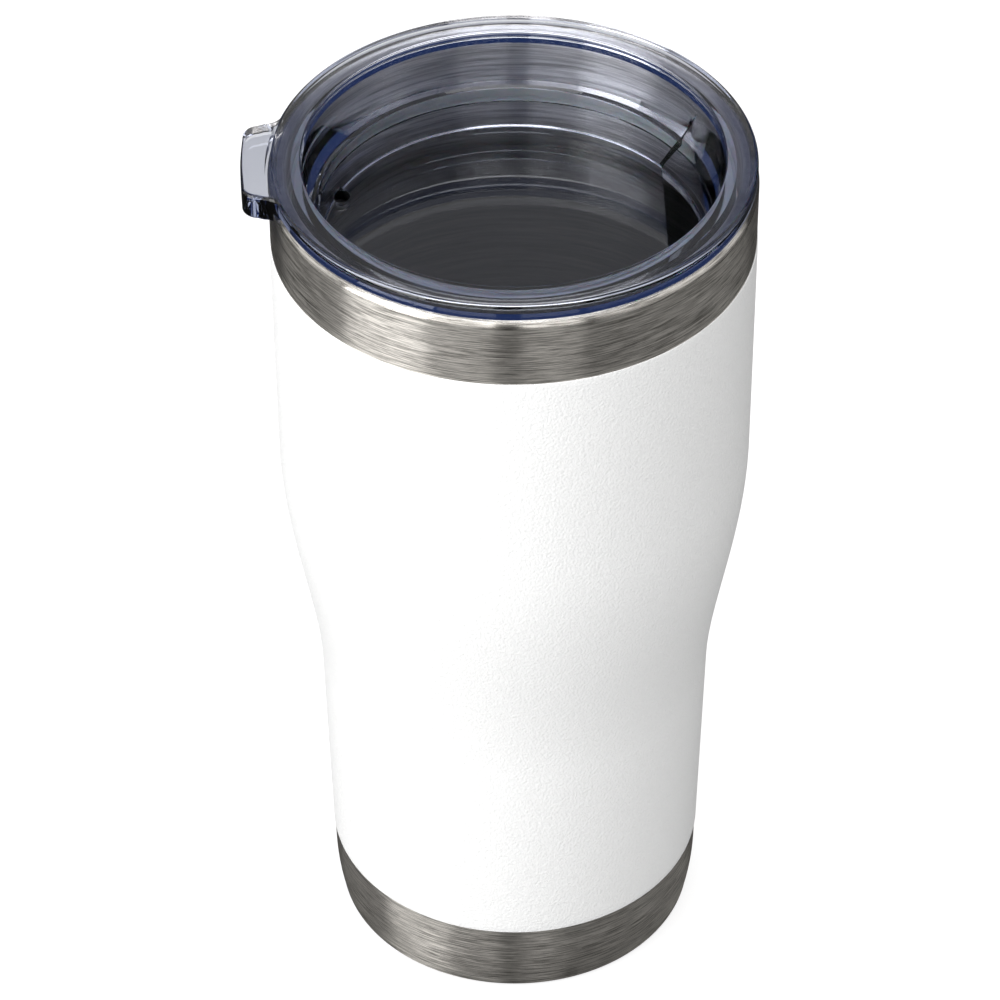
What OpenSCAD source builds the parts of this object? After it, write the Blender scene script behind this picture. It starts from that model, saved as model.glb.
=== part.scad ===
// Double-wall vacuum tumbler with a clear press-in lid.
// Origin: centre of the ring that the cup stands on. +Z up, millimetres.
// The lid's thumb tab points to -X and its drinking opening to +X.

/* [Cup body] */
// Height of the steel lip above the table
lip_z = 172.8; // [172:0.1:174]
// Outer radius at the lip
lip_r = 44.05; // [43.9:0.05:44.6]
// Widening of the upper body, in millimetres of radius per millimetre of height
upper_taper = 0.007; // [0:0.001:0.01]
// Outer radius at the top of the foot
foot_r = 35.5; // [34.5:0.1:36]
// Height of the rounded foot
foot_h = 12; // [10:0.5:14]
// How far the foot draws in towards the table
foot_draw = 1.5; // [0.8:0.1:1.8]
// Widening of the lower body, in millimetres of radius per millimetre of height
lower_taper = 0.028; // [0.02:0.001:0.032]
// Height at which the shoulder starts to swell
shoulder_z0 = 59; // [52:1:64]
// Height at which the shoulder meets the upper body
shoulder_z1 = 112; // [105:1:120]
// Radius of the corner on which the cup stands
foot_corner = 1.5; // [1:0.1:1.8]

/* [Steel walls] */
// Thickness of every steel sheet
wall = 0.5; // [0.4:0.05:0.6]
// Width of the vacuum gap between the two walls
vacuum_gap = 2.3; // [2.1:0.1:2.4]
// Radius of the rolled lip on its outer side
lip_round = 1.6; // [1.2:0.1:1.7]
// Height of the drinking floor above the table
floor_z = 10.6; // [10:0.1:12]
// Inside radius of the corner at the drinking floor
floor_corner = 5; // [3:0.5:5]

/* [Powder coat] */
// Thickness of the coat
coat_t = 0.15; // [0.1:0.05:0.25]
// Height of the coat's lower edge
coat_z0 = 16.3; // [14:0.1:20]
// Height of the coat's upper edge
coat_z1 = 159.1; // [150:0.1:162]

/* [Base] */
// Inner radius of the hem under the shell
hem_r = 31.2; // [30:0.1:31.8]
// Height of the vacuum base plate
plate_z = 4; // [3.6:0.1:4.2]
// Radius of the evacuation hole
port_r = 1; // [0.8:0.1:1.4]
// Radius of the dimple round the evacuation hole
dimple_r = 4; // [3.5:0.1:5]
// Depth of that dimple
dimple_h = 1.4; // [1:0.1:1.6]
// Distance of the getter from the axis
getter_x = 16; // [12:1:22]
// Radius of the getter pellet
getter_r = 4; // [3:0.1:4.4]
// Height of the getter pellet
getter_h = 2; // [1.5:0.1:2.4]

/* [Lid] */
// Height of the lid's top above the table
lid_top = 176.3; // [175.8:0.1:176.6]
// Outer radius of the flange that lies on the lip
flange_r = 43.8; // [43.2:0.1:44]
// Inner radius of the recess at the top
recess_r = 38; // [37.6:0.1:38.2]
// Inner radius of the recess at its floor
recess_floor_r = 34.8; // [34.4:0.1:35.2]
// Height of the recess floor
recess_z = 157.3; // [157:0.1:158]
// Thickness of that floor
recess_t = 2.2; // [1.8:0.1:2.4]
// Outer radius of the plug that goes into the cup
plug_r = 39.9; // [39.6:0.05:40]
// Gap between the flange and the steel lip
seat_gap = 0.1; // [0.1:0.05:0.2]
// Distance of the drinking opening's straight edge from the axis
mouth_x = 27.8; // [26:0.1:29]
// Depth of the sip channel cut into the recess wall
channel_depth = 0.8; // [0.4:0.1:1]
// Radius of the vent hole
vent_r = 1.8; // [1:0.1:1.9]
// Distance of the vent hole from the axis
vent_at = 34.4; // [30:0.1:34.6]
// Direction of the vent hole, in degrees from +X
vent_angle = 156; // [140:1:170]

/* [Thumb tab] */
// Distance from the axis to the tip of the tab
tab_reach = 48.8; // [47.5:0.1:50]
// Half the width of the tab
tab_half = 11; // [8:0.1:11.5]
// Thickness of the tab beyond the lip
tab_t = 5.3; // [4:0.1:6]
// Radius of the hollow where the tab meets the flange
tab_fillet = 3; // [2:0.1:4]
// Radius of the tab's two free corners
tab_corner = 3; // [1.5:0.1:3.5]

/* [Gasket] */
// Lower edge of the gasket groove
groove_z0 = 161.2; // [160.8:0.1:161.4]
// Upper edge of the gasket groove
groove_z1 = 164.6; // [164.4:0.1:165]
// Radius of the groove's floor
groove_r = 37.9; // [37.8:0.1:38.2]
// Radius that the gasket's two fins reach
fin_r = 40.45; // [40.2:0.05:40.5]
// Gap between the gasket and its groove
gasket_gap = 0.1; // [0.1:0.02:0.2]

/* [Hidden] */
$fn = 96;

upper_z = lip_z - lip_round;                 // where the straight upper wall ends
mid_wall = wall + vacuum_gap;                // from the outer face to the liner's hidden face
full_wall = mid_wall + wall;                 // from the outer face to the drink
lip_in = 1;                                  // radius of the lip on the drinking side
seam_r = lip_r - lip_round;                  // seam between the shell and the liner
liner_z0 = floor_z + floor_corner + 0.4;     // joint between the liner tube and its base
clip_t = 0.4;                                // sheet of the getter clip
shield_t = 0.1;                              // metal foil round the liner
shield_z0 = 24;
shield_z1 = 150;
vent_notch = 0.9;                            // how far the vent hole runs up the recess wall
step_top = 171.3;                            // where the recess wall starts to lean inwards
cover_r = 32.6;
cover_rib = [23, 25, 0.5];                   // embossed ring of the base cover: from, to, height
shoulder_steps = 14;
step_z = [for (i = [0 : shoulder_steps])
    shoulder_z0 + (shoulder_z1 - shoulder_z0) * i / shoulder_steps];
foot_z = [foot_corner, 3, 5, 8, foot_h];
coat_stations = concat([coat_z0], step_z, [coat_z1]);
shell_stations = concat(foot_z, coat_stations, [upper_z]);
liner_stations = concat([liner_z0], step_z, [lip_z - lip_in]);
shield_stations = concat([shield_z0], step_z, [shield_z1]);

// 0 below the shoulder, 1 above it, with a smooth start and end
function swell(t) = t <= 0 ? 0 : t >= 1 ? 1 : t * t * (3 - 2 * t);
function foot(z) = foot_r - foot_draw * pow(1 - z / foot_h, 2);
function lower(z) = foot_r + lower_taper * (z - foot_h);
function upper(z) = lip_r - upper_taper * (upper_z - z);
// Outer radius of the steel body at height z
function body_r(z) = z < foot_h ? foot(z) :
    let (s = swell((z - shoulder_z0) / (shoulder_z1 - shoulder_z0)))
    lower(z) * (1 - s) + upper(z) * s;
// Inside of the shell between two stations of its foot, where the base plate's rim is welded
function rim_r(z) = let (a = foot_z[1], b = foot_z[2], t = (z - a) / (b - a))
    body_r(a) * (1 - t) + body_r(b) * t - wall;
// The body's outline, moved inwards by d
function outline(stations, d) = [for (z = stations) [body_r(z) - d, z]];
function reversed(list) = [for (i = [len(list) - 1 : -1 : 0]) list[i]];
// n steps of an arc
function arc(c, r, a0, a1, n) = [for (i = [0 : n])
    c + r * [cos(a0 + (a1 - a0) * i / n), sin(a0 + (a1 - a0) * i / n)]];

// A closed band between two outlines, turned round the axis
module turned_band(outside, inside) {
    rotate_extrude() polygon(concat(outside, reversed(inside)));
}

// Outer steel wall: hem, rounded foot, straight foot, shoulder, upper body and half of the lip
module outer_shell() {
    foot_in = foot(foot_corner) - foot_corner;
    foot_c = [foot_in, foot_corner];
    lip_c = [lip_r - lip_round, upper_z];
    outside = concat(
        [[hem_r, 0]],
        arc(foot_c, foot_corner, -90, -15, 5),
        outline(shell_stations, 0),
        arc(lip_c, lip_round, 10, 90, 8));
    inside = concat(
        [[hem_r, wall]],
        arc(foot_c, foot_corner - wall, -90, -15, 5),
        outline(shell_stations, wall),
        arc(lip_c, lip_round - wall, 10, 90, 8));
    color([0.62, 0.60, 0.57]) turned_band(outside, inside);
}

// White powder coat between the two bare steel bands
module powder_coat() {
    color([0.96, 0.96, 0.95])
        turned_band(outline(coat_stations, -coat_t), outline(coat_stations, 0));
}

// Inner steel wall that holds the drink, with the other half of the lip
module inner_liner() {
    lip_c = [body_r(lip_z - lip_in) - full_wall + lip_in, lip_z - lip_in];
    hidden_side = concat(
        outline(liner_stations, mid_wall),
        arc(lip_c, lip_in - wall, 170, 90, 5),
        [[seam_r, lip_z - wall]]);
    drink_side = concat(
        outline(liner_stations, full_wall),
        arc(lip_c, lip_in, 170, 90, 5),
        [[seam_r, lip_z]]);
    color([0.42, 0.42, 0.42]) turned_band(hidden_side, drink_side);
}

// Dished disc welded under the liner tube
module liner_base() {
    r = body_r(liner_z0) - full_wall;
    c = [r - floor_corner, floor_z + floor_corner];
    top = concat([[0, floor_z]], arc(c, floor_corner, -90, 0, 8), [[r, liner_z0]]);
    under = concat([[0, floor_z - wall]], arc(c, floor_corner + wall, -90, 0, 8),
        [[r + wall, liner_z0]]);
    color([0.42, 0.42, 0.42]) turned_band(under, top);
}

// Reflecting metal foil wrapped round the liner inside the vacuum
module heat_foil() {
    color([0.78, 0.45, 0.28]) turned_band(
        outline(shield_stations, mid_wall - shield_t), outline(shield_stations, mid_wall));
}

// Plate that closes the vacuum space, with a turned-down rim and the evacuation port
module outer_base() {
    section = [
        [port_r, plate_z + dimple_h],
        [dimple_r, plate_z + dimple_h],
        [dimple_r + 1, plate_z],
        [rim_r(plate_z) - wall, plate_z],
        [rim_r(foot_z[1]) - wall, foot_z[1]],
        [rim_r(foot_z[1]), foot_z[1]],
        [rim_r(plate_z + wall), plate_z + wall],
        [dimple_r + 1 + wall, plate_z + wall],
        [dimple_r + wall, plate_z + dimple_h + wall],
        [port_r, plate_z + dimple_h + wall]];
    color([0.55, 0.55, 0.54]) rotate_extrude() polygon(section);
}

// Bottom disc that shows under the cup, lying on the hem
module base_cover() {
    section = [
        [0, wall], [cover_rib[0], wall],
        [cover_rib[0], wall + cover_rib[2]], [cover_rib[1], wall + cover_rib[2]],
        [cover_rib[1], wall], [cover_r, wall],
        [cover_r, 2 * wall], [cover_rib[1] + wall, 2 * wall],
        [cover_rib[1] + wall, 2 * wall + cover_rib[2]],
        [cover_rib[0] - wall, 2 * wall + cover_rib[2]],
        [cover_rib[0] - wall, 2 * wall], [0, 2 * wall]];
    color([0.60, 0.59, 0.57]) rotate_extrude() polygon(section);
}

// Glass solder that closes the evacuation port
module seal_glass() {
    top = plate_z + dimple_h;
    color([0.20, 0.32, 0.28]) union() {
        translate([0, 0, top - 0.9]) cylinder(r = dimple_r - 1, h = 0.9);
        translate([0, 0, top - 0.1]) cylinder(r = port_r, h = 0.1 + wall);
    }
}

// Pellet that takes up stray gas in the vacuum
module getter() {
    color([0.35, 0.34, 0.36]) translate([getter_x, 0, plate_z + wall])
        cylinder(r = getter_r, h = getter_h);
}

// Bent strap, spot-welded to the base plate, that holds the pellet
module getter_clip() {
    span = 2 * getter_r + 1;
    foot_l = 2.5;
    width = 3;
    rise = getter_h + clip_t;
    color([0.70, 0.70, 0.68]) translate([getter_x, 0, plate_z + wall]) union() {
        translate([-span / 2 - clip_t, -width / 2, getter_h])
            cube([span + 2 * clip_t, width, clip_t]);
        for (s = [-1, 1]) {
            translate([s * (span + clip_t) / 2 - clip_t / 2, -width / 2, 0])
                cube([clip_t, width, rise]);
            translate([s * (span + foot_l) / 2 - foot_l / 2, -width / 2, 0])
                cube([foot_l, width, clip_t]);
        }
    }
}

// Half section of the lid: floor, plug wall with its gasket groove, and flange
module lid_section() {
    under = recess_z - recess_t;
    seat = lip_z + seat_gap;
    edge = 1;
    polygon(concat(
        [[0, under], [plug_r - 1.8, under], [plug_r - 1, under + 0.8],
         [plug_r - 1, groove_z0], [groove_r, groove_z0],
         [groove_r, groove_z1], [plug_r, groove_z1],
         [plug_r, seat], [flange_r - 0.6, seat], [flange_r, seat + 0.6]],
        arc([flange_r - edge, lid_top - edge], edge, 0, 90, 6),
        [[recess_r + 0.4, lid_top], [recess_r, lid_top - 0.4],
         [recess_r, step_top], [36.2, 165.6], [35.6, 165], [35.4, 164.3],
         [recess_floor_r, recess_z + 0.5], [recess_floor_r - 0.5, recess_z], [0, recess_z]]));
}

// Plan of the thumb tab, hollowed where it meets the flange
module tab_plan() {
    hollow_y = tab_half + 0.3 + tab_fillet;
    hollow_x = -sqrt(pow(flange_r + tab_fillet, 2) - pow(hollow_y, 2));
    meet = atan2(hollow_y, hollow_x) - 180;
    corner = [-tab_reach + tab_corner + 0.3, tab_half - tab_corner - 0.2];
    half = concat(
        [[-flange_r + 4, hollow_y]],
        arc([hollow_x, hollow_y], tab_fillet, meet, -90, 6),
        arc(corner, tab_corner, 95, 175, 6),
        [[-tab_reach, 3]]);
    polygon(concat(half, reversed([for (p = half) [p[0], -p[1]]])));
}

// Thumb tab: thin where it crosses the lip and thicker outside it
module thumb_tab() {
    lip_clear = 0.45;
    low = lid_top - tab_t;
    difference() {
        translate([0, 0, low]) linear_extrude(height = tab_t - 0.2) tab_plan();
        translate([0, 0, low - 1]) cylinder(r = lip_r + lip_clear, h = lip_z + seat_gap - low + 1);
    }
}

// Straight-edged drinking opening in the floor, and the vent hole in the far corner of the floor
module lid_holes() {
    intersection() {
        translate([0, 0, recess_z - 2 * recess_t]) cylinder(r = recess_floor_r, h = 3 * recess_t);
        translate([mouth_x, -50, recess_z - 2 * recess_t]) cube([20, 100, 3 * recess_t]);
    }
    rotate([0, 0, vent_angle]) translate([vent_at, 0, recess_z - 2 * recess_t])
        cylinder(r = vent_r, h = 2 * recess_t + vent_notch);
}

// Shallow channel up the recess wall from the drinking opening, ending at two slanted edges
module sip_channel() {
    lean = 22.9;
    intersection() {
        rotate_extrude() polygon([[30, recess_z], [recess_floor_r + channel_depth, recess_z],
            [35.6 + channel_depth, 165], [recess_r, step_top], [30, step_top]]);
        translate([mouth_x, 0, recess_z]) rotate([0, lean, 0])
            translate([0, -50, -20]) cube([20, 100, 60]);
    }
}

// One clear moulding: flange, tab, plug and recessed floor
module lid_body() {
    color([0.70, 0.78, 0.95, 0.5]) difference() {
        union() {
            rotate_extrude() lid_section();
            thumb_tab();
        }
        lid_holes();
        sip_channel();
    }
}

// Silicone ring with two sealing fins and a hollow back, stretched into the groove of the plug
module lid_gasket() {
    r = groove_r + gasket_gap;
    z0 = groove_z0 + gasket_gap;
    z1 = groove_z1 - gasket_gap;
    core = fin_r - 1;
    fin = 0.45;
    hollow = [0.9, 0.4, 1.4];    // depth, and the solid height left under and over it
    section = [
        [r, z0], [core, z0], [fin_r, z0 + fin], [fin_r, z0 + 2 * fin], [core, z0 + 3 * fin],
        [core, z1 - 3 * fin], [fin_r, z1 - 2 * fin], [fin_r, z1 - fin], [core, z1], [r, z1],
        [r, z1 - hollow[2]], [r + hollow[0], z1 - hollow[2]],
        [r + hollow[0], z0 + hollow[1]], [r, z0 + hollow[1]]];
    color([0.90, 0.91, 0.92]) rotate_extrude() polygon(section);
}

outer_shell();
powder_coat();
inner_liner();
liner_base();
heat_foil();
outer_base();
base_cover();
seal_glass();
getter();
getter_clip();
lid_body();
lid_gasket();
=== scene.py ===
# %% [markdown]
# # An insulated tumbler with a clear press-in lid
# The cup is two thin steel walls with a vacuum between them. Its outside carries a
# white powder coat that leaves a bare steel band at the top and one at the foot. The
# lid is one clear moulding with a silicone gasket. This lesson builds each of those
# pieces round a fixed frame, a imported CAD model, so every size below is a real one in
# millimetres and nothing has to be fitted by eye.

# %% Load the frame
import math

import bmesh
import bpy
from mathutils import Euler, Matrix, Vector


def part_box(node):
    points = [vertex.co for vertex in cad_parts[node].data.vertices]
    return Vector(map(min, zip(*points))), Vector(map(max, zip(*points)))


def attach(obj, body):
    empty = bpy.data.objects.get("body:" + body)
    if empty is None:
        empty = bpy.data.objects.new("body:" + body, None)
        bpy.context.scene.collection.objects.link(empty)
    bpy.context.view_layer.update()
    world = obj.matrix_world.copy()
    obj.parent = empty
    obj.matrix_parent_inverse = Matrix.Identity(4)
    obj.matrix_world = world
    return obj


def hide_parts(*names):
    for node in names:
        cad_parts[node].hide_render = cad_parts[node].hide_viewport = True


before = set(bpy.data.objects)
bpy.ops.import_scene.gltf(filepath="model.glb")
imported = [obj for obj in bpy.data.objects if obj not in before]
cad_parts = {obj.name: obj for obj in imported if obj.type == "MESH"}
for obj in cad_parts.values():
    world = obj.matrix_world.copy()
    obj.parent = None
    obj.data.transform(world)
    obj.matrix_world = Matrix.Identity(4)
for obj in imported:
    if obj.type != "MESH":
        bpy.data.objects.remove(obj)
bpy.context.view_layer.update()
MM = 0.001
print("nodes:", ", ".join(sorted(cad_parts)))

# %% [markdown]
# ## Reading sizes off the frame
# A lathe-turned object needs few numbers: radii and heights. The frame knows most of
# them, because the box of a round part gives its outer radius and its two ends. The
# helpers below read them in millimetres, which keeps the rest of the lesson short.

# %% Sizes from the frame
def low(node):
    """Height of a node's lower end, in millimetres."""
    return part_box(node)[0][2] / MM


def high(node):
    """Height of a node's upper end, in millimetres."""
    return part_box(node)[1][2] / MM


def radius(node):
    """Largest radius of a round node, in millimetres."""
    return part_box(node)[1][1] / MM


LIP_Z = high("outer_shell")
LIP_R = radius("outer_shell")
LID_TOP = high("lid_body")
LID_LOW = low("lid_body")
FLANGE_R = radius("lid_body")
TAB_REACH = -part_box("lid_body")[0][0] / MM
COAT_Z0 = low("powder_coat")
COAT_Z1 = high("powder_coat")
print(f"lip {LIP_R:.2f} mm at {LIP_Z:.1f} mm, coat from {COAT_Z0:.1f} to {COAT_Z1:.1f} mm")

# %% [markdown]
# ## The outline of the body
# Real cups like this are pressed from a tube: a nearly straight lower body that fits a
# cup holder, a shoulder, and a wider upper body. Each straight stretch is a line, and
# the shoulder blends the two lines with a smooth step, `3t^2 - 2t^3`, which leaves and
# arrives without a corner. A formula is better here than a list of measured points,
# because it can be sampled as finely as the render needs.

# %% Outline of the steel body
WALL = 0.5
VACUUM_GAP = 2.3
FOOT_R = 35.5
FOOT_H = 12
FOOT_DRAW = 1.5
FOOT_CORNER = 1.5
LOWER_TAPER = 0.028
UPPER_TAPER = 0.007
SHOULDER_Z0 = 59
SHOULDER_Z1 = 112
LIP_ROUND = 1.6
LIP_IN = 1.0
FULL_WALL = 2 * WALL + VACUUM_GAP
UPPER_Z = LIP_Z - LIP_ROUND


def body_r(z):
    """Outer radius of the steel body at height z."""
    if z < FOOT_H:
        return FOOT_R - FOOT_DRAW * (1 - z / FOOT_H) ** 2
    t = min(max((z - SHOULDER_Z0) / (SHOULDER_Z1 - SHOULDER_Z0), 0), 1)
    swell = t * t * (3 - 2 * t)
    lower = FOOT_R + LOWER_TAPER * (z - FOOT_H)
    upper = LIP_R - UPPER_TAPER * (UPPER_Z - z)
    return lower * (1 - swell) + upper * swell


def side(z0, z1, inset=0.0, step=1.5):
    """Points of the body's side between two heights, moved inwards by inset."""
    n = max(2, round(abs(z1 - z0) / step))
    heights = [z0 + (z1 - z0) * i / n for i in range(n + 1)]
    return [(body_r(z) - inset, z) for z in heights]


def arc(centre, r, a0, a1, n=6):
    """Points of an arc in the (radius, height) plane, angles in degrees."""
    angles = [math.radians(a0 + (a1 - a0) * i / n) for i in range(n + 1)]
    return [(centre[0] + r * math.cos(a), centre[1] + r * math.sin(a)) for a in angles]


print(f"radius at the foot {body_r(FOOT_H):.1f} mm, at mid height {body_r(86):.1f} mm")

# %% [markdown]
# ## A lathe in mesh code
# Blender's Screw modifier could spin a profile, but a small bmesh lathe gives full
# control: closed sections, poles on the axis, and edges marked sharp only where two
# faces meet at a real angle. Those sharp marks keep flat faces flat in a smooth-shaded
# mesh, which matters most for clear plastic, where every normal bends the light.

# %% Lathe and finishing helpers
TURNS = 192
SHARP_ANGLE = math.radians(32)


def add_object(name, mesh):
    """Link a mesh to the scene as a new object."""
    piece = bpy.data.objects.new(name, mesh)
    bpy.context.scene.collection.objects.link(piece)
    return piece


def shade(mesh, angle=SHARP_ANGLE):
    """Smooth faces everywhere, sharp edges only where the surface really turns."""
    bm = bmesh.new()
    bm.from_mesh(mesh)
    bmesh.ops.recalc_face_normals(bm, faces=bm.faces)
    for face in bm.faces:
        face.smooth = True
    for edge in bm.edges:
        edge.smooth = len(edge.link_faces) == 2 and edge.calc_face_angle() < angle
    bm.to_mesh(mesh)
    bm.free()


def lathe(name, section, turns=TURNS):
    """Turn a closed (radius, height) section in millimetres round the Z axis."""
    bm = bmesh.new()
    rings = []
    for r, z in section:
        if r < 1e-6:
            rings.append([bm.verts.new((0, 0, z * MM))])
            continue
        ring = []
        for i in range(turns):
            a = 2 * math.pi * i / turns
            ring.append(bm.verts.new((r * MM * math.cos(a), r * MM * math.sin(a), z * MM)))
        rings.append(ring)
    for this, after in zip(rings, rings[1:] + rings[:1]):
        if len(this) == 1 and len(after) == 1:
            continue
        for i in range(turns):
            j = (i + 1) % turns
            corners = [this[i % len(this)], this[j % len(this)],
                       after[j % len(after)], after[i % len(after)]]
            bm.faces.new(list(dict.fromkeys(corners)))
    mesh = bpy.data.meshes.new(name)
    bm.to_mesh(mesh)
    bm.free()
    shade(mesh)
    return add_object(name, mesh)


# %% [markdown]
# ## Materials are node trees
# Every finish below is procedural: noise and waves in real millimetres drive colour,
# roughness and bump. The helper makes a Principled shader, sets the plain values on
# its own sockets, and returns a small kit for adding textures to it.

# %% Material helper
def finish(name, colour, **values):
    """A Principled material with plain socket values; returns its node kit."""
    material = bpy.data.materials.new(name)
    material.use_nodes = True
    tree = material.node_tree
    shader = tree.nodes["Principled BSDF"]
    shader.inputs["Base Color"].default_value = (*colour, 1)
    for socket, value in values.items():
        shader.inputs[socket.replace("_", " ")].default_value = value
    return {"material": material, "tree": tree, "shader": shader}


def node(kit, kind, links=(), **settings):
    """Add a node; settings are its properties or, with a leading underscore, inputs."""
    new = kit["tree"].nodes.new(kind)
    for key, value in settings.items():
        if key.startswith("_"):
            new.inputs[key[1:].replace("_", " ")].default_value = value
        else:
            setattr(new, key, value)
    for source, socket in links:
        kit["tree"].links.new(source, new.inputs[socket])
    return new


def grain(kit, stretch, detail=3.0, rough=0.6):
    """Noise in object space; stretch gives grains per metre along X, Y and Z."""
    place = node(kit, "ShaderNodeTexCoord")
    mapping = node(kit, "ShaderNodeMapping", [(place.outputs["Object"], "Vector")],
                   _Scale=stretch)
    return node(kit, "ShaderNodeTexNoise", [(mapping.outputs["Vector"], "Vector")],
                _Scale=1.0, _Detail=detail, _Roughness=rough)


def spread(kit, source, low_value, high_value, dark=0.3, light=0.7):
    """Map a texture value to a range."""
    return node(kit, "ShaderNodeMapRange", [(source, "Value")],
                _From_Min=dark, _From_Max=light, _To_Min=low_value, _To_Max=high_value)


def tint(kit, source, stops):
    """Map a texture value to colours; stops are (position, colour) pairs."""
    ramp = node(kit, "ShaderNodeValToRGB", [(source, "Fac")])
    while len(ramp.color_ramp.elements) < len(stops):
        ramp.color_ramp.elements.new(0.5)
    for element, (position, colour) in zip(ramp.color_ramp.elements, stops):
        element.position = position
        element.color = (*colour, 1)
    return ramp


def bump(kit, source, distance, under=None):
    """Bump of a given height in metres, on top of an earlier bump if there is one."""
    links = [(source, "Height")]
    if under is not None:
        links.append((under.outputs["Normal"], "Normal"))
    return node(kit, "ShaderNodeBump", links, _Distance=distance, _Strength=1.0)


def plug(kit, output, socket):
    """Link an output to a socket of the material's shader."""
    kit["tree"].links.new(output, kit["shader"].inputs[socket])


def height_above_table(kit):
    """The Z of object space, in metres."""
    coordinates = node(kit, "ShaderNodeTexCoord")
    split = node(kit, "ShaderNodeSeparateXYZ", [(coordinates.outputs["Object"], "Vector")])
    return split.outputs["Z"]


def brush_round_axis(kit):
    """Point the shader's tangent round the Z axis, the way the brush went."""
    tangent = node(kit, "ShaderNodeTangent", direction_type="RADIAL", axis="Z")
    plug(kit, tangent.outputs["Tangent"], "Tangent")


# %% [markdown]
# ### Brushed steel
# The bare bands are stainless steel, brushed while the cup turns on a lathe, so the
# scratches run round it. Noise that is nearly constant along X and Y and very fine
# along Z draws exactly such rings, with no seam. The same noise shifts the roughness
# and makes a shallow bump. Anisotropy spreads reflections across the scratches, which
# is what turns soft lights into upright streaks on a brushed cylinder. The rolled lip is
# buffed after brushing, so the roughness drops above the height where it begins.

# %% Steel finishes
BRUSH_RUN = 140
LINER_RUN = 60
LINER_RINGS = 2200
LIP_POLISH_DROP = 1.8
POLISH_FADE = 0.0008
POLISHED_ROUGH = 0.22
# Heights, in metres, where the liner's painted shade fades into its brighter painted-lit copy
# at the mouth.
PAINTED_SHADE_FADE = (0.147, 0.155)


def brushed_steel(name, colour, dark, rough, ring_pitch, depth, anisotropy,
                  polished_from=1.0):
    """Steel brushed in rings; above polished_from, in metres, the rings are buffed away."""
    kit = finish(name, colour, Metallic=1.0, Anisotropic=anisotropy, Anisotropic_Rotation=0.25)
    scratch = grain(kit, (BRUSH_RUN, BRUSH_RUN, 1 / ring_pitch), detail=4, rough=0.7)
    colours = tint(kit, scratch.outputs["Fac"], [(0.36, dark), (0.58, colour)])
    plug(kit, colours.outputs["Color"], "Base Color")
    roughness = spread(kit, scratch.outputs["Fac"], rough - 0.06, rough + 0.08)
    buffed = node(kit, "ShaderNodeMapRange", [(height_above_table(kit), "Value"),
                                              (roughness.outputs["Result"], "To Min")],
                  _From_Min=polished_from, _From_Max=polished_from + POLISH_FADE,
                  _To_Max=POLISHED_ROUGH)
    plug(kit, buffed.outputs["Result"], "Roughness")
    height = bump(kit, scratch.outputs["Fac"], depth)
    plug(kit, height.outputs["Normal"], "Normal")
    brush_round_axis(kit)
    return kit["material"]


steel = brushed_steel("brushed_steel", (0.80, 0.765, 0.71), (0.29, 0.275, 0.25),
                      rough=0.34, ring_pitch=0.00022, depth=0.000008, anisotropy=1.0,
                      polished_from=(LIP_Z - LIP_POLISH_DROP) * MM)


def liner_finish():
    """One steel in two copies: a dark one below the mouth is painted shade for the deep cup,
    and a brighter one at the mouth is painted light.
    """
    kit = finish("liner_steel", (0.16, 0.16, 0.155), Metallic=1.0, Anisotropic=1.0,
                 Anisotropic_Rotation=0.25)
    scratch = grain(kit, (LINER_RUN, LINER_RUN, LINER_RINGS), detail=4, rough=0.7)
    mouth = spread(kit, height_above_table(kit), 0.0, 1.0,
                   dark=PAINTED_SHADE_FADE[0], light=PAINTED_SHADE_FADE[1])
    # Painted shade: below the mouth the liner takes a far darker copy of its steel colour,
    # standing in for the shade deep inside the cup. At the mouth a brighter copy stands in for
    # the light that reaches it.
    painted_shade_deep = tint(kit, scratch.outputs["Fac"],
                 [(0.3, (0.055, 0.055, 0.053)), (0.7, (0.10, 0.10, 0.098))])
    painted_light_mouth = tint(kit, scratch.outputs["Fac"],
                  [(0.35, (0.50, 0.49, 0.50)), (0.62, (0.92, 0.91, 0.92))])
    both = node(kit, "ShaderNodeMix", [(mouth.outputs["Result"], 0),
                                       (painted_shade_deep.outputs["Color"], 6),
                                       (painted_light_mouth.outputs["Color"], 7)], data_type="RGBA")
    plug(kit, both.outputs[2], "Base Color")
    roughness = spread(kit, scratch.outputs["Fac"], 0.36, 0.48)
    plug(kit, roughness.outputs["Result"], "Roughness")
    height = bump(kit, scratch.outputs["Fac"], 0.000006)
    plug(kit, height.outputs["Normal"], "Normal")
    brush_round_axis(kit)
    return kit["material"]


liner_steel = liner_finish()
plate_steel = brushed_steel("plate_steel", (0.45, 0.44, 0.43), (0.30, 0.29, 0.28),
                            rough=0.38, ring_pitch=0.0008, depth=0.00002, anisotropy=0.3)


# %% [markdown]
# ### White powder coat
# Powder coat is sprayed as dry polyester and melts in the oven, which leaves a satin
# skin with a fine orange peel. Two noises do it: small dimples about half a millimetre
# across, and a slower waviness of about one and a half. The colour moves only a little,
# as a real coat does.

# %% Powder coat finish
PEEL_GRAINS = 1900
WAVE_GRAINS = 700


def powder_white():
    kit = finish("powder_coat_white", (0.90, 0.90, 0.895), Coat_Weight=0.08,
                 Coat_Roughness=0.35)
    peel = grain(kit, (PEEL_GRAINS,) * 3, detail=2, rough=0.5)
    wave = grain(kit, (WAVE_GRAINS,) * 3, detail=1)
    colours = tint(kit, peel.outputs["Fac"],
                   [(0.3, (0.885, 0.887, 0.885)), (0.7, (0.91, 0.91, 0.905))])
    plug(kit, colours.outputs["Color"], "Base Color")
    roughness = spread(kit, peel.outputs["Fac"], 0.40, 0.54)
    plug(kit, roughness.outputs["Result"], "Roughness")
    slow = bump(kit, wave.outputs["Fac"], 0.00001)
    fine = bump(kit, peel.outputs["Fac"], 0.0002, under=slow)
    plug(kit, fine.outputs["Normal"], "Normal")
    return kit["material"]


coat_white = powder_white()

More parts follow.
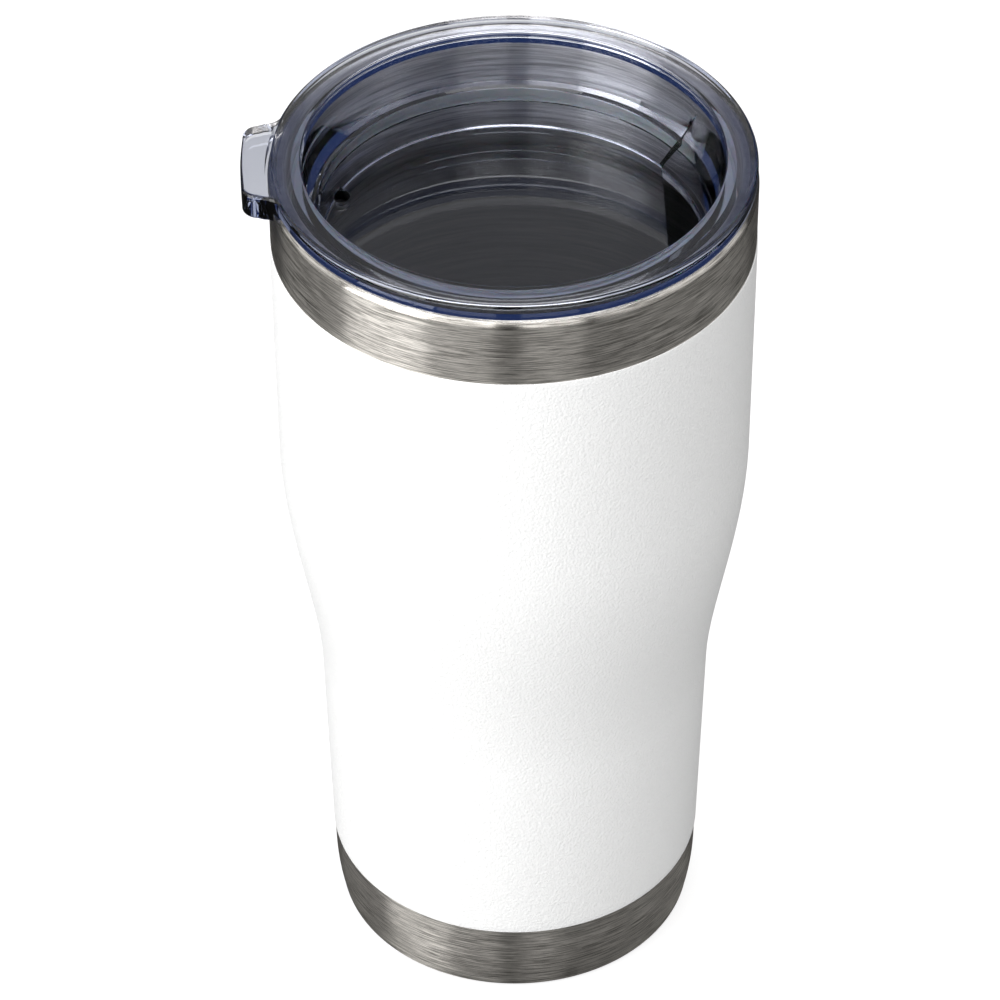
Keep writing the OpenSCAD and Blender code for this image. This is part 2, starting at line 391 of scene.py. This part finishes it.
# %% [markdown]
# ### Clear copolyester
# The lid is water-clear on top and deep blue where one looks along its edges, because
# light has a long way through the plastic there. That is a job for a volume: the
# surface only refracts, and a weak blue absorption inside colours the long paths. A
# blue base colour would tint thin and thick places alike. The absorption is only part
# of the blue: the studio, built further on, is deep blue to light that leaves the
# plastic at a low angle.

# %% Clear plastic finish
PLASTIC_TINT = (0.38, 0.50, 0.84, 1)
PLASTIC_DENSITY = 36


def clear_plastic():
    kit = finish("clear_plastic", (1, 1, 1), Transmission_Weight=1.0, IOR=1.54)
    mark = grain(kit, (900, 900, 900), detail=2)
    roughness = spread(kit, mark.outputs["Fac"], 0.0, 0.03)
    plug(kit, roughness.outputs["Result"], "Roughness")
    flow = grain(kit, (70, 70, 110), detail=1)
    height = bump(kit, flow.outputs["Fac"], 0.000012)
    plug(kit, height.outputs["Normal"], "Normal")
    tint_inside = node(kit, "ShaderNodeVolumeAbsorption")
    tint_inside.inputs["Color"].default_value = PLASTIC_TINT
    tint_inside.inputs["Density"].default_value = PLASTIC_DENSITY
    out = kit["tree"].nodes["Material Output"]
    kit["tree"].links.new(tint_inside.outputs["Volume"], out.inputs["Volume"])
    return kit["material"]


clear = clear_plastic()

# %% [markdown]
# ### Silicone, foil, glass and the small inner parts
# Silicone is a soft, cloudy white: a little subsurface scattering and a rough surface.
# The foil, the glass solder and the getter are out of sight inside the wall, and they
# still get honest finishes, for anyone who opens the model up.

# %% Silicone and hidden finishes
def silicone():
    kit = finish("silicone_white", (0.80, 0.81, 0.83), Transmission_Weight=0.25, IOR=1.41,
                 Subsurface_Weight=0.25, Subsurface_Scale=0.002)
    dust = grain(kit, (1400, 1400, 1400), detail=3)
    roughness = spread(kit, dust.outputs["Fac"], 0.38, 0.55)
    plug(kit, roughness.outputs["Result"], "Roughness")
    height = bump(kit, dust.outputs["Fac"], 0.00002)
    plug(kit, height.outputs["Normal"], "Normal")
    return kit["material"]


def mottled(name, colour, dark, metal, rough, grain_size, depth):
    """A cast, pressed or fused surface with grains of one size."""
    kit = finish(name, colour, Metallic=metal)
    speck = grain(kit, (1 / grain_size,) * 3, detail=4, rough=0.65)
    colours = tint(kit, speck.outputs["Fac"], [(0.35, dark), (0.65, colour)])
    plug(kit, colours.outputs["Color"], "Base Color")
    roughness = spread(kit, speck.outputs["Fac"], rough - 0.1, rough + 0.1)
    plug(kit, roughness.outputs["Result"], "Roughness")
    height = bump(kit, speck.outputs["Fac"], depth)
    plug(kit, height.outputs["Normal"], "Normal")
    return kit["material"]


gasket_white = silicone()
foil = mottled("wrinkled_foil", (0.80, 0.58, 0.45), (0.62, 0.42, 0.32),
               metal=1.0, rough=0.22, grain_size=0.004, depth=0.0002)
solder = mottled("glass_solder", (0.16, 0.26, 0.23), (0.08, 0.14, 0.13),
                 metal=0.0, rough=0.22, grain_size=0.0008, depth=0.00003)
sinter = mottled("sintered_getter", (0.30, 0.30, 0.32), (0.16, 0.16, 0.18),
                 metal=0.6, rough=0.68, grain_size=0.0003, depth=0.00005)

# %% [markdown]
# ## Putting pieces in their place
# Each finished piece rides on a body of the frame, stands for one CAD node and takes
# its finish from one material slot. One call keeps those three facts together.

# %% Placing helper
def place(piece, material, node_name, body, slot):
    """Give a piece its finish, its body and the CAD node it stands for; the slot argument is
    not used.
    """
    piece.data.materials.clear()
    piece.data.materials.append(material)
    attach(piece, body)
    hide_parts(node_name)
    lowest, highest = [[f(v.co[i] for v in piece.data.vertices) / MM for i in range(3)]
                       for f in (min, max)]
    print(f"{piece.name}: {len(piece.data.polygons)} faces, "
          f"z {lowest[2]:.1f} to {highest[2]:.1f} mm, radius {highest[1]:.2f} mm")


# %% [markdown]
# ## The outer steel wall
# One sheet goes from the hem under the foot, round the foot corner, up the side and
# over the outer half of the rolled lip. The section is drawn up the outside and back
# down the inside, half a millimetre in.

# %% Outer wall
HEM_R = 31.2


def outer_wall():
    corner = (body_r(FOOT_CORNER) - FOOT_CORNER, FOOT_CORNER)
    lip = (LIP_R - LIP_ROUND, UPPER_Z)
    outside = ([(HEM_R, 0)] + arc(corner, FOOT_CORNER, -90, -10, 8)
               + side(2.0, UPPER_Z) + arc(lip, LIP_ROUND, 6, 84, 10))
    rim = arc((lip[0] + 0.05, LIP_Z - WALL / 2), WALL / 2, 90, 180, 3)
    inside = (arc(lip, LIP_ROUND - WALL, 84, 6, 8) + side(UPPER_Z, 2.0, WALL)
              + arc(corner, FOOT_CORNER - WALL, -10, -90, 6) + [(HEM_R, WALL)])
    return lathe("outer_wall", outside + rim + inside)


place(outer_wall(), steel, "outer_shell", "cup", "brushed_steel")

# %% [markdown]
# ## The powder coat
# The coat is a skin a sixth of a millimetre thick. Both of its edges are rounded over,
# because the melt pulls back a little from the masked steel.

# %% Coat skin
COAT_T = radius("powder_coat") - body_r(COAT_Z1)


def coat_skin():
    outside = side(COAT_Z0 + COAT_T, COAT_Z1 - COAT_T, -COAT_T)
    top = arc((body_r(COAT_Z1), COAT_Z1 - COAT_T), COAT_T, 0, 90, 4)
    inside = side(COAT_Z1, COAT_Z0, -0.002)
    bottom = arc((body_r(COAT_Z0), COAT_Z0 + COAT_T), COAT_T, -90, 0, 4)
    return lathe("coat_skin", outside + top[1:] + inside + bottom[:-1])


place(coat_skin(), coat_white, "powder_coat", "cup", "white_coat")

# %% [markdown]
# ## The liner and its bottom
# The inner wall follows the outer one at a constant distance, so the same outline is
# used again, moved inwards. Its top rolls outwards to meet the outer wall in a fine
# seam along the lip. The dished bottom has a wide corner that a spoon can follow.

# %% Liner
FLOOR_CORNER = 5
LINER_Z0 = low("inner_liner")
FLOOR_Z = low("liner_base") + WALL
SEAM_R = LIP_R - LIP_ROUND


def liner_wall():
    start = LIP_Z - LIP_IN
    centre = (body_r(start) - FULL_WALL + LIP_IN, start)
    hidden = side(LINER_Z0, start, WALL + VACUUM_GAP) + arc(centre, LIP_IN - WALL, 170, 90)
    seam = arc((SEAM_R - WALL / 2, LIP_Z - WALL / 2), WALL / 2, -90, 90, 5)
    drink = arc(centre, LIP_IN, 90, 170, 8) + side(start, LINER_Z0, FULL_WALL)
    return lathe("liner_wall", hidden + seam + drink)


def liner_bottom():
    r = body_r(LINER_Z0) - FULL_WALL
    centre = (r - FLOOR_CORNER, FLOOR_Z + FLOOR_CORNER)
    top = [(r, LINER_Z0)] + arc(centre, FLOOR_CORNER, 0, -90, 14) + [(0, FLOOR_Z)]
    under = ([(0, FLOOR_Z - WALL)] + arc(centre, FLOOR_CORNER + WALL, -90, 0, 14)
             + [(r + WALL, LINER_Z0)])
    return lathe("liner_bottom", under + top)


place(liner_wall(), liner_steel, "inner_liner", "cup", "liner_steel")
place(liner_bottom(), liner_steel, "liner_base", "cup", "liner_steel")

# %% [markdown]
# ## The lid's turned shape
# Most of the lid is round: a flange that lies on the lip, a plug wall with a groove
# for the gasket, and a sunk floor. Every outer corner is drawn as an arc, because a
# moulding has no knife edges and because those small arcs catch the bright lines that
# make clear plastic readable.

# %% Lid section
RECESS_R = 38.0
RECESS_FLOOR_R = 34.8
RECESS_Z = 157.3
STEP_Z = 171.3
PLUG_R = 39.9
GROOVE_R = 37.9
GROOVE_Z0 = low("lid_gasket") - 0.1
GROOVE_Z1 = high("lid_gasket") + 0.1
SEAT_Z = LIP_Z + 0.1


def lid_section():
    edge = 1.0
    plug_low = PLUG_R - 1
    under = ([(0, LID_LOW), (plug_low - 1.2, LID_LOW)]
             + arc((plug_low - 0.8, LID_LOW + 0.8), 0.8, -90, 0, 5))
    groove = [(plug_low, GROOVE_Z0), (GROOVE_R, GROOVE_Z0), (GROOVE_R, GROOVE_Z1),
              (PLUG_R, GROOVE_Z1), (PLUG_R, SEAT_Z)]
    flange = (arc((FLANGE_R - 0.6, SEAT_Z + 0.6), 0.6, -90, 0, 5)
              + arc((FLANGE_R - edge, LID_TOP - edge), edge, 0, 90, 8))
    recess = (arc((RECESS_R + 0.4, LID_TOP - 0.4), 0.4, 90, 180, 4)
              + [(RECESS_R, STEP_Z)] + [(36.2, 165.6)]
              + arc((35.9, 164.9), 0.5, 110, 180, 4)
              + arc((RECESS_FLOOR_R - 0.5, RECESS_Z + 0.5), 0.5, 0, -90, 5)
              + [(RECESS_FLOOR_R - 0.9, RECESS_Z), (0, RECESS_Z)])
    return under + groove + flange + recess


# %% [markdown]
# ## The thumb tab
# The tab is the handle for prising the lid out. Its plan is drawn once for one half
# and mirrored: a hollow where it leaves the flange, a rounded free corner, and a tip
# that follows a circle. It hooks down outside the lip, where it is thicker.

# %% Tab plan and solid
TAB_HALF = 11
TAB_FILLET = 3.0
TAB_CORNER = 3.0
TAB_T = 5.3
LIP_CLEAR = 0.45


def tab_plan():
    hollow_y = TAB_HALF + 0.3 + TAB_FILLET
    hollow_x = -math.sqrt((FLANGE_R + TAB_FILLET) ** 2 - hollow_y ** 2)
    meet = math.degrees(math.atan2(hollow_y, hollow_x)) - 180
    corner = (-TAB_REACH + TAB_CORNER + 0.3, TAB_HALF - TAB_CORNER - 0.2)
    half = ([(-FLANGE_R + 4, hollow_y)]
            + arc((hollow_x, hollow_y), TAB_FILLET, meet, -90, 10)
            + arc(corner, TAB_CORNER, 95, 170, 10)
            + [(-TAB_REACH + 0.05, 3), (-TAB_REACH, 1)])
    return half + [(x, -y) for x, y in reversed(half)]


def prism(name, plan, z0, z1, round_edges=0.0):
    """Extrude a plan in millimetres, with its edges rounded if asked."""
    bm = bmesh.new()
    base = bm.faces.new([bm.verts.new((x * MM, y * MM, z0 * MM)) for x, y in plan])
    up = bmesh.ops.extrude_face_region(bm, geom=[base])["geom"]
    moved = [g for g in up if isinstance(g, bmesh.types.BMVert)]
    bmesh.ops.translate(bm, verts=moved, vec=(0, 0, (z1 - z0) * MM))
    bmesh.ops.recalc_face_normals(bm, faces=bm.faces)
    if round_edges:
        rims = [e for e in bm.edges if abs(e.verts[0].co.z - e.verts[1].co.z) < 1e-9]
        bmesh.ops.bevel(bm, geom=rims, offset=round_edges * MM, segments=4, profile=0.5,
                        affect="EDGES", clamp_overlap=True)
    mesh = bpy.data.meshes.new(name)
    bm.to_mesh(mesh)
    bm.free()
    return add_object(name, mesh)


# %% [markdown]
# ## Cutting and joining
# The opening, the vent and the shallow sip channel break the round symmetry, so they
# are cut with Boolean modifiers, and the tab is joined on with one. The Exact solver
# keeps the solid closed, which a refracting volume needs: a single hole in the skin
# would let the blue tint leak out.

# %% Boolean helper
def apply_modifiers(piece):
    """Replace a piece's mesh by the result of its modifiers."""
    bpy.context.view_layer.update()
    graph = bpy.context.evaluated_depsgraph_get()
    result = bpy.data.meshes.new_from_object(piece.evaluated_get(graph))
    piece.modifiers.clear()
    piece.data = result


def combine(piece, tool, operation):
    """Apply one Boolean to a piece and throw the tool away."""
    step = piece.modifiers.new("combine", "BOOLEAN")
    step.object = tool
    step.operation = operation
    step.solver = "EXACT"
    apply_modifiers(piece)
    bpy.data.objects.remove(tool)


def cutter_beyond(name, x, lean, size=60):
    """A block that fills everything beyond a plane at x, leaning outwards by lean degrees."""
    plan = [(0, -size), (size, -size), (size, size), (0, size)]
    block = prism(name, plan, -size / 3, size)
    block.data.transform(Matrix.Rotation(math.radians(lean), 4, "Y"))
    block.data.transform(Matrix.Translation((x * MM, 0, RECESS_Z * MM)))
    return block


def soften(piece, offset, chosen):
    """Round the sharp edges of a mesh whose middle point passes a test, in millimetres."""
    bm = bmesh.new()
    bm.from_mesh(piece.data)
    bmesh.ops.remove_doubles(bm, verts=bm.verts, dist=1e-7)
    picked = []
    for edge in bm.edges:
        middle = (edge.verts[0].co + edge.verts[1].co) / 2 / MM
        turns_sharply = len(edge.link_faces) == 2 and edge.calc_face_angle() > SHARP_ANGLE
        if turns_sharply and chosen(*middle):
            picked.append(edge)
    bmesh.ops.bevel(bm, geom=picked, offset=offset * MM, segments=2, profile=0.5,
                    affect="EDGES", clamp_overlap=True)
    bm.to_mesh(piece.data)
    bm.free()
    print(f"{piece.name}: {len(picked)} edges rounded by {offset} mm")


def weigh_normals(piece):
    """Let large flat faces set the normals, and small rounded ones take up the turn."""
    step = piece.modifiers.new("weigh", "WEIGHTED_NORMAL")
    step.keep_sharp = True
    step.weight = 100
    apply_modifiers(piece)


# %% Lid solid
MOUTH_X = 27.8
CHANNEL_DEPTH = 0.8
CHANNEL_LEAN = 22.9
VENT_R = 1.8
VENT_AT = 34.4
VENT_ANGLE = 156
VENT_RIM = 0.35
VENT_NOTCH = 0.9
NOTCH_ROUND = 0.3
WALL_FOOT_R = 35.6
WALL_FOOT_Z = 165
NEAR = 0.02
LID_TURNS = 240


def clear_lid():
    lid = lathe("clear_lid", lid_section(), LID_TURNS)
    tab = prism("tab", tab_plan(), LID_TOP - TAB_T, LID_TOP - 0.2, round_edges=0.7)
    lip_room = lathe("lip_room", [(0, 160), (LIP_R + LIP_CLEAR, 160),
                                  (LIP_R + LIP_CLEAR, SEAT_Z), (0, SEAT_Z)])
    combine(tab, lip_room, "DIFFERENCE")
    core = lathe("core", [(0, 165), (FLANGE_R - 1.5, 165), (FLANGE_R - 1.5, 180), (0, 180)])
    combine(tab, core, "DIFFERENCE")
    combine(lid, tab, "UNION")
    mouth = lathe("mouth", [(0, LID_LOW - 3), (RECESS_FLOOR_R - NEAR, LID_LOW - 3),
                            (RECESS_FLOOR_R - NEAR, RECESS_Z + 3), (0, RECESS_Z + 3)],
                  LID_TURNS)
    combine(mouth, cutter_beyond("beyond_mouth", MOUTH_X, 0), "INTERSECT")
    combine(lid, mouth, "DIFFERENCE")
    channel = lathe("channel", [(30, RECESS_Z - 0.01),
                                (RECESS_FLOOR_R + CHANNEL_DEPTH, RECESS_Z - 0.01),
                                (WALL_FOOT_R + CHANNEL_DEPTH, WALL_FOOT_Z),
                                (RECESS_R, STEP_Z), (30, STEP_Z)], LID_TURNS)
    combine(channel, cutter_beyond("beyond_channel", MOUTH_X, CHANNEL_LEAN), "INTERSECT")
    combine(lid, channel, "DIFFERENCE")
    rim = arc((VENT_R + VENT_RIM, RECESS_Z - VENT_RIM), VENT_RIM, 180, 90, 4)
    notch = arc((VENT_R - NOTCH_ROUND, RECESS_Z + 0.6), NOTCH_ROUND, 0, 90, 3)
    vent = lathe("vent", [(0, LID_LOW - 2), (VENT_R, LID_LOW - 2)] + rim
                 + [(VENT_R, RECESS_Z + 0.01)] + notch + [(0, RECESS_Z + VENT_NOTCH)], 48)
    turn = math.radians(VENT_ANGLE)
    vent.data.transform(Matrix.Translation((VENT_AT * MM * math.cos(turn),
                                            VENT_AT * MM * math.sin(turn), 0)))
    combine(lid, vent, "DIFFERENCE")
    slope = math.tan(math.radians(CHANNEL_LEAN))

    def mouth_edge(x, y, z):
        return abs(x - MOUTH_X) < NEAR and abs(z - RECESS_Z) < NEAR

    def channel_edge(x, y, z):
        on_slant = abs(x - MOUTH_X - slope * (z - RECESS_Z)) < NEAR
        return RECESS_Z + 0.4 < z < STEP_Z - 1.5 and on_slant and math.hypot(x, y) < RECESS_R

    soften(lid, 0.25, mouth_edge)
    soften(lid, 0.15, channel_edge)
    shade(lid.data)
    weigh_normals(lid)
    return lid


place(clear_lid(), clear, "lid_body", "lid", "clear_plastic")

# %% [markdown]
# ## The gasket
# The gasket is a silicone ring with two soft fins that press on the liner. Its back is
# hollow, so it can stretch over the plug, and through the clear wall the ring reads as
# a broad white line over a dark one and a thin one.

# %% Gasket
FIN_R = radius("lid_gasket")


def gasket():
    r = GROOVE_R + 0.1
    z0, z1 = low("lid_gasket"), high("lid_gasket")
    core = FIN_R - 1
    fin = []
    for z in (z0 + 0.68, z1 - 0.68):
        fin += [(core, z - 0.6)] + arc((FIN_R - 0.22, z), 0.22, -80, 80, 5) + [(core, z + 0.6)]
    hollow = ([(r, z1 - 0.1), (r, z1 - 1.3), (r + 0.1, z1 - 1.4), (r + 0.9, z1 - 1.4)]
              + [(r + 0.9, z0 + 0.4), (r + 0.1, z0 + 0.4), (r, z0 + 0.3), (r, z0 + 0.1)])
    section = ([(r + 0.1, z0), (core - 0.1, z0)] + fin
               + [(core - 0.1, z1), (r + 0.1, z1)] + hollow)
    return lathe("silicone_gasket", section)


place(gasket(), gasket_white, "lid_gasket", "gasket", "silicone")

# %% [markdown]
# ## Under the cup
# The bottom disc is pressed with a raised ring that stiffens it. It lies on the hem,
# half a millimetre above the table, so it never scratches.

# %% Base cover
def bottom_disc():
    r = radius("base_cover")
    z = low("base_cover")
    rib_in, rib_out, rib_h = 23.0, 25.0, 0.5
    under = ([(0, z), (rib_in - 0.3, z)] + arc((rib_in + 1, z), 1, 180, 90, 5)[1:]
             + arc((rib_out - 1, z), 1, 90, 0, 5)[1:-1] + [(rib_out + 0.3, z)])
    under = [(a, min(b, z + rib_h)) for a, b in under]
    edge = arc((r - WALL / 2, z + WALL / 2), WALL / 2, -90, 90, 5)
    top = [(a + (0.2 if a > 24 else -0.2), b + WALL) for a, b in reversed(under[1:])]
    return lathe("bottom_disc", under + edge + top + [(0, z + WALL)])


place(bottom_disc(), plate_steel, "base_cover", "cup", "base_steel")

# %% [markdown]
# ## Parts hidden in the vacuum
# The vacuum plate, the solder, the getter, its clip and the foil have the right shape
# in the frame already, so they stay and only get better finishes.

# %% Finishes of the hidden nodes
def refinish(node_name, material):
    """Give a CAD node a new finish, and leave its mesh as it is."""
    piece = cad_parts[node_name]
    for holder in piece.material_slots:
        holder.material = material
    print(f"{node_name}: {material.name}")


refinish("outer_base", plate_steel)
refinish("getter_clip", plate_steel)
refinish("heat_foil", foil)
refinish("seal_glass", solder)
refinish("getter", sinter)

# %% [markdown]
# ## The studio
# White goods on white need two studios at once: the eye should see a pure pale
# background, while the steel should mirror a dim room with a few soft boxes in it, or
# it would turn white too. A goods studio uses black flags and a bright table for that.
# Here the Light Path node does it: surround and floor answer a direct look brightly,
# and a mirror ray dimly. Light that leaves the plastic low down meets deep blue, which
# draws the navy lines in the lid. Both are stage, not object, so nothing is painted on
# the cup.

# %% Ways of looking
def math_node(kit, operation, a, b):
    """A Math node on two values, each an output or a plain number."""
    new = node(kit, "ShaderNodeMath", operation=operation)
    for i, value in enumerate((a, b)):
        if isinstance(value, (int, float)):
            new.inputs[i].default_value = value
        else:
            kit["tree"].links.new(value, new.inputs[i])
    return new.outputs["Value"]


def colour_mix(kit, factor, first, second):
    """A colour mix of two outputs or plain colours."""
    new = node(kit, "ShaderNodeMix", [(factor, 0)], data_type="RGBA")
    for i, value in ((6, first), (7, second)):
        if isinstance(value, tuple):
            new.inputs[i].default_value = (*value, 1)
        else:
            kit["tree"].links.new(value, new.inputs[i])
    return new.outputs[2]


def grey(value):
    return (value, value, value)


def by_ray(kit, looked_at, through, mirrored, lit_by):
    """A colour that depends on the kind of ray: direct, through plastic, mirror or diffuse."""
    path = node(kit, "ShaderNodeLightPath")
    colour = colour_mix(kit, path.outputs["Is Glossy Ray"], lit_by, mirrored)
    colour = colour_mix(kit, path.outputs["Is Transmission Ray"], colour, through)
    return colour_mix(kit, path.outputs["Is Camera Ray"], colour, looked_at), path


# %% Surround
DEEP_BLUE = (0.016, 0.031, 0.10)


def surround(looked_at, mirrored_low, mirrored_high, lit_by, through):
    """A white world; mirrors see it dim at eye level, and plastic sees it blue there."""
    world = bpy.data.worlds.new("surround")
    world.use_nodes = True
    kit = {"tree": world.node_tree}
    coordinates = node(kit, "ShaderNodeTexCoord")
    split = node(kit, "ShaderNodeSeparateXYZ", [(coordinates.outputs["Generated"], "Vector")])
    height = spread(kit, split.outputs["Z"], 0.0, 1.0, dark=0.64, light=0.82).outputs["Result"]
    mirrored = tint(kit, split.outputs["Z"],
                    [(0.25, grey(mirrored_low)), (0.6, grey(mirrored_high))]).outputs["Color"]
    plastic = colour_mix(kit, height, DEEP_BLUE, grey(through))
    colour, _ = by_ray(kit, grey(looked_at), plastic, mirrored, grey(lit_by))
    background = world.node_tree.nodes["Background"]
    world.node_tree.links.new(colour, background.inputs["Color"])
    world.cycles.sampling_method = "NONE"
    bpy.context.scene.world = world


# %% Floor
FLOOR_RADIUS = 4.0
FLOOR_DROP = 0.05


def studio_floor(looked_at, mirrored, lit_by, through, shadow=0.35):
    kit = finish("studio_white", (0.93, 0.93, 0.93), Roughness=0.8, Specular_IOR_Level=0.1)
    fibre = grain(kit, (14, 14, 14), detail=2)
    pale = tint(kit, fibre.outputs["Fac"], [(0.3, grey(0.94)), (0.7, grey(0.96))])
    coordinates = node(kit, "ShaderNodeTexCoord")
    reach = node(kit, "ShaderNodeVectorMath", [(coordinates.outputs["Object"], 0)],
                 operation="LENGTH")
    far = spread(kit, reach.outputs["Value"], 0.0, 1.0,
                 dark=0.15, light=0.45).outputs["Result"]
    plastic = colour_mix(kit, far, grey(through), DEEP_BLUE)
    colour, path = by_ray(kit, pale.outputs["Color"], plastic, grey(mirrored), grey(lit_by))
    plug(kit, colour, "Base Color")
    glow = node(kit, "ShaderNodeEmission", _Strength=looked_at)
    share = math_node(kit, "MULTIPLY", path.outputs["Is Camera Ray"], 1 - shadow)
    both = node(kit, "ShaderNodeMixShader", [(share, 0), (kit["shader"].outputs["BSDF"], 1),
                                             (glow.outputs["Emission"], 2)])
    out = kit["tree"].nodes["Material Output"]
    kit["tree"].links.new(both.outputs["Shader"], out.inputs["Surface"])
    kit["material"].cycles.emission_sampling = "NONE"
    bm = bmesh.new()
    bmesh.ops.create_circle(bm, cap_ends=True, radius=FLOOR_RADIUS, segments=64)
    mesh = bpy.data.meshes.new("floor")
    bm.to_mesh(mesh)
    bm.free()
    floor = add_object("floor", mesh)
    floor.location.z = -FLOOR_DROP * MM
    floor.data.materials.append(kit["material"])


surround(looked_at=1.02, mirrored_low=0.02, mirrored_high=0.55, lit_by=0.43, through=0.3)
studio_floor(looked_at=1.2, mirrored=0.03, lit_by=0.42, through=0.66)

# %% [markdown]
# ### Soft boxes
# The steel is read from its soft boxes. A big key stands to the left of the camera with
# a dimmer box on each side of it, and two fills stand to the right. The gap between the
# nearest two draws the narrow dark upright line that brushed cylinders show in front. A
# strip hangs overhead for the lip. The last box stands behind and only evens out the
# coat, so it is hidden from mirror rays and from rays through the plastic.

# %% Lights
def soft_box(name, azimuth, distance, width, low_z, high_z, radiance):
    """An upright area light; azimuth 0 is the camera's side, positive to the right."""
    height = high_z - low_z
    a = math.radians(azimuth)
    place_at = (distance * math.sin(a), -distance * math.cos(a), (low_z + high_z) / 2)
    return area_light(name, place_at, (math.pi / 2, 0, a), width, height, radiance)


def area_light(name, place_at, turned, width, height, radiance):
    data = bpy.data.lights.new(name, "AREA")
    data.shape = "RECTANGLE"
    data.size = width
    data.size_y = height
    data.energy = radiance * math.pi * width * height
    light = bpy.data.objects.new(name, data)
    light.location = place_at
    light.rotation_euler = turned
    bpy.context.scene.collection.objects.link(light)
    print(f"{name}: {data.energy:.1f} W at {[round(v, 2) for v in light.location]}")
    return light


soft_box("key_left", -57, 0.9, 0.62, 0.0, 1.3, 3.9)
soft_box("key_edge", -23, 1.05, 0.5, 0.0, 1.3, 1.4)
soft_box("key_back", -98, 1.1, 0.8, 0.0, 1.1, 0.7)
soft_box("fill_near", 15, 1.1, 0.52, 0.0, 1.0, 1.1)
soft_box("fill_right", 75, 1.1, 2.0, 0.0, 1.0, 0.62)
area_light("overhead", (0, 0.15, 1.15), (0, 0, 0), 0.5, 1.4, 2.4)
back = soft_box("back_fill", 180, 1.3, 1.6, 0.0, 1.2, 1.0)
back.visible_glossy = False
back.visible_transmission = False

# %% [markdown]
# ## The camera
# A long lens, about four times a normal one, keeps the tall cup from tapering too
# much. It looks down by forty degrees, so the lid's recess opens to view.

# %% Camera
def camera():
    data = bpy.data.cameras.new("camera")
    data.lens = 189.5
    data.sensor_width = 36
    data.shift_x = -0.0143
    data.shift_y = -0.0009
    data.clip_start = 0.05
    data.clip_end = 20
    eye = bpy.data.objects.new("camera", data)
    look_down = math.radians(40.314)
    turn = Matrix.Rotation(math.radians(-1.5), 4, "Z")
    roll = Matrix.Rotation(math.radians(-0.123), 4, "Z")
    tilt = Euler((math.pi / 2 - look_down, 0, 0)).to_matrix().to_4x4()
    place_at = Matrix.Translation((0, -0.7562, 0.7373))
    eye.matrix_world = turn @ place_at @ tilt @ roll
    bpy.context.scene.collection.objects.link(eye)
    bpy.context.scene.camera = eye
    print(f"camera: {data.lens} mm lens, {eye.matrix_world.translation.length:.2f} m away")


camera()
bpy.context.scene.view_settings.view_transform = "Standard"
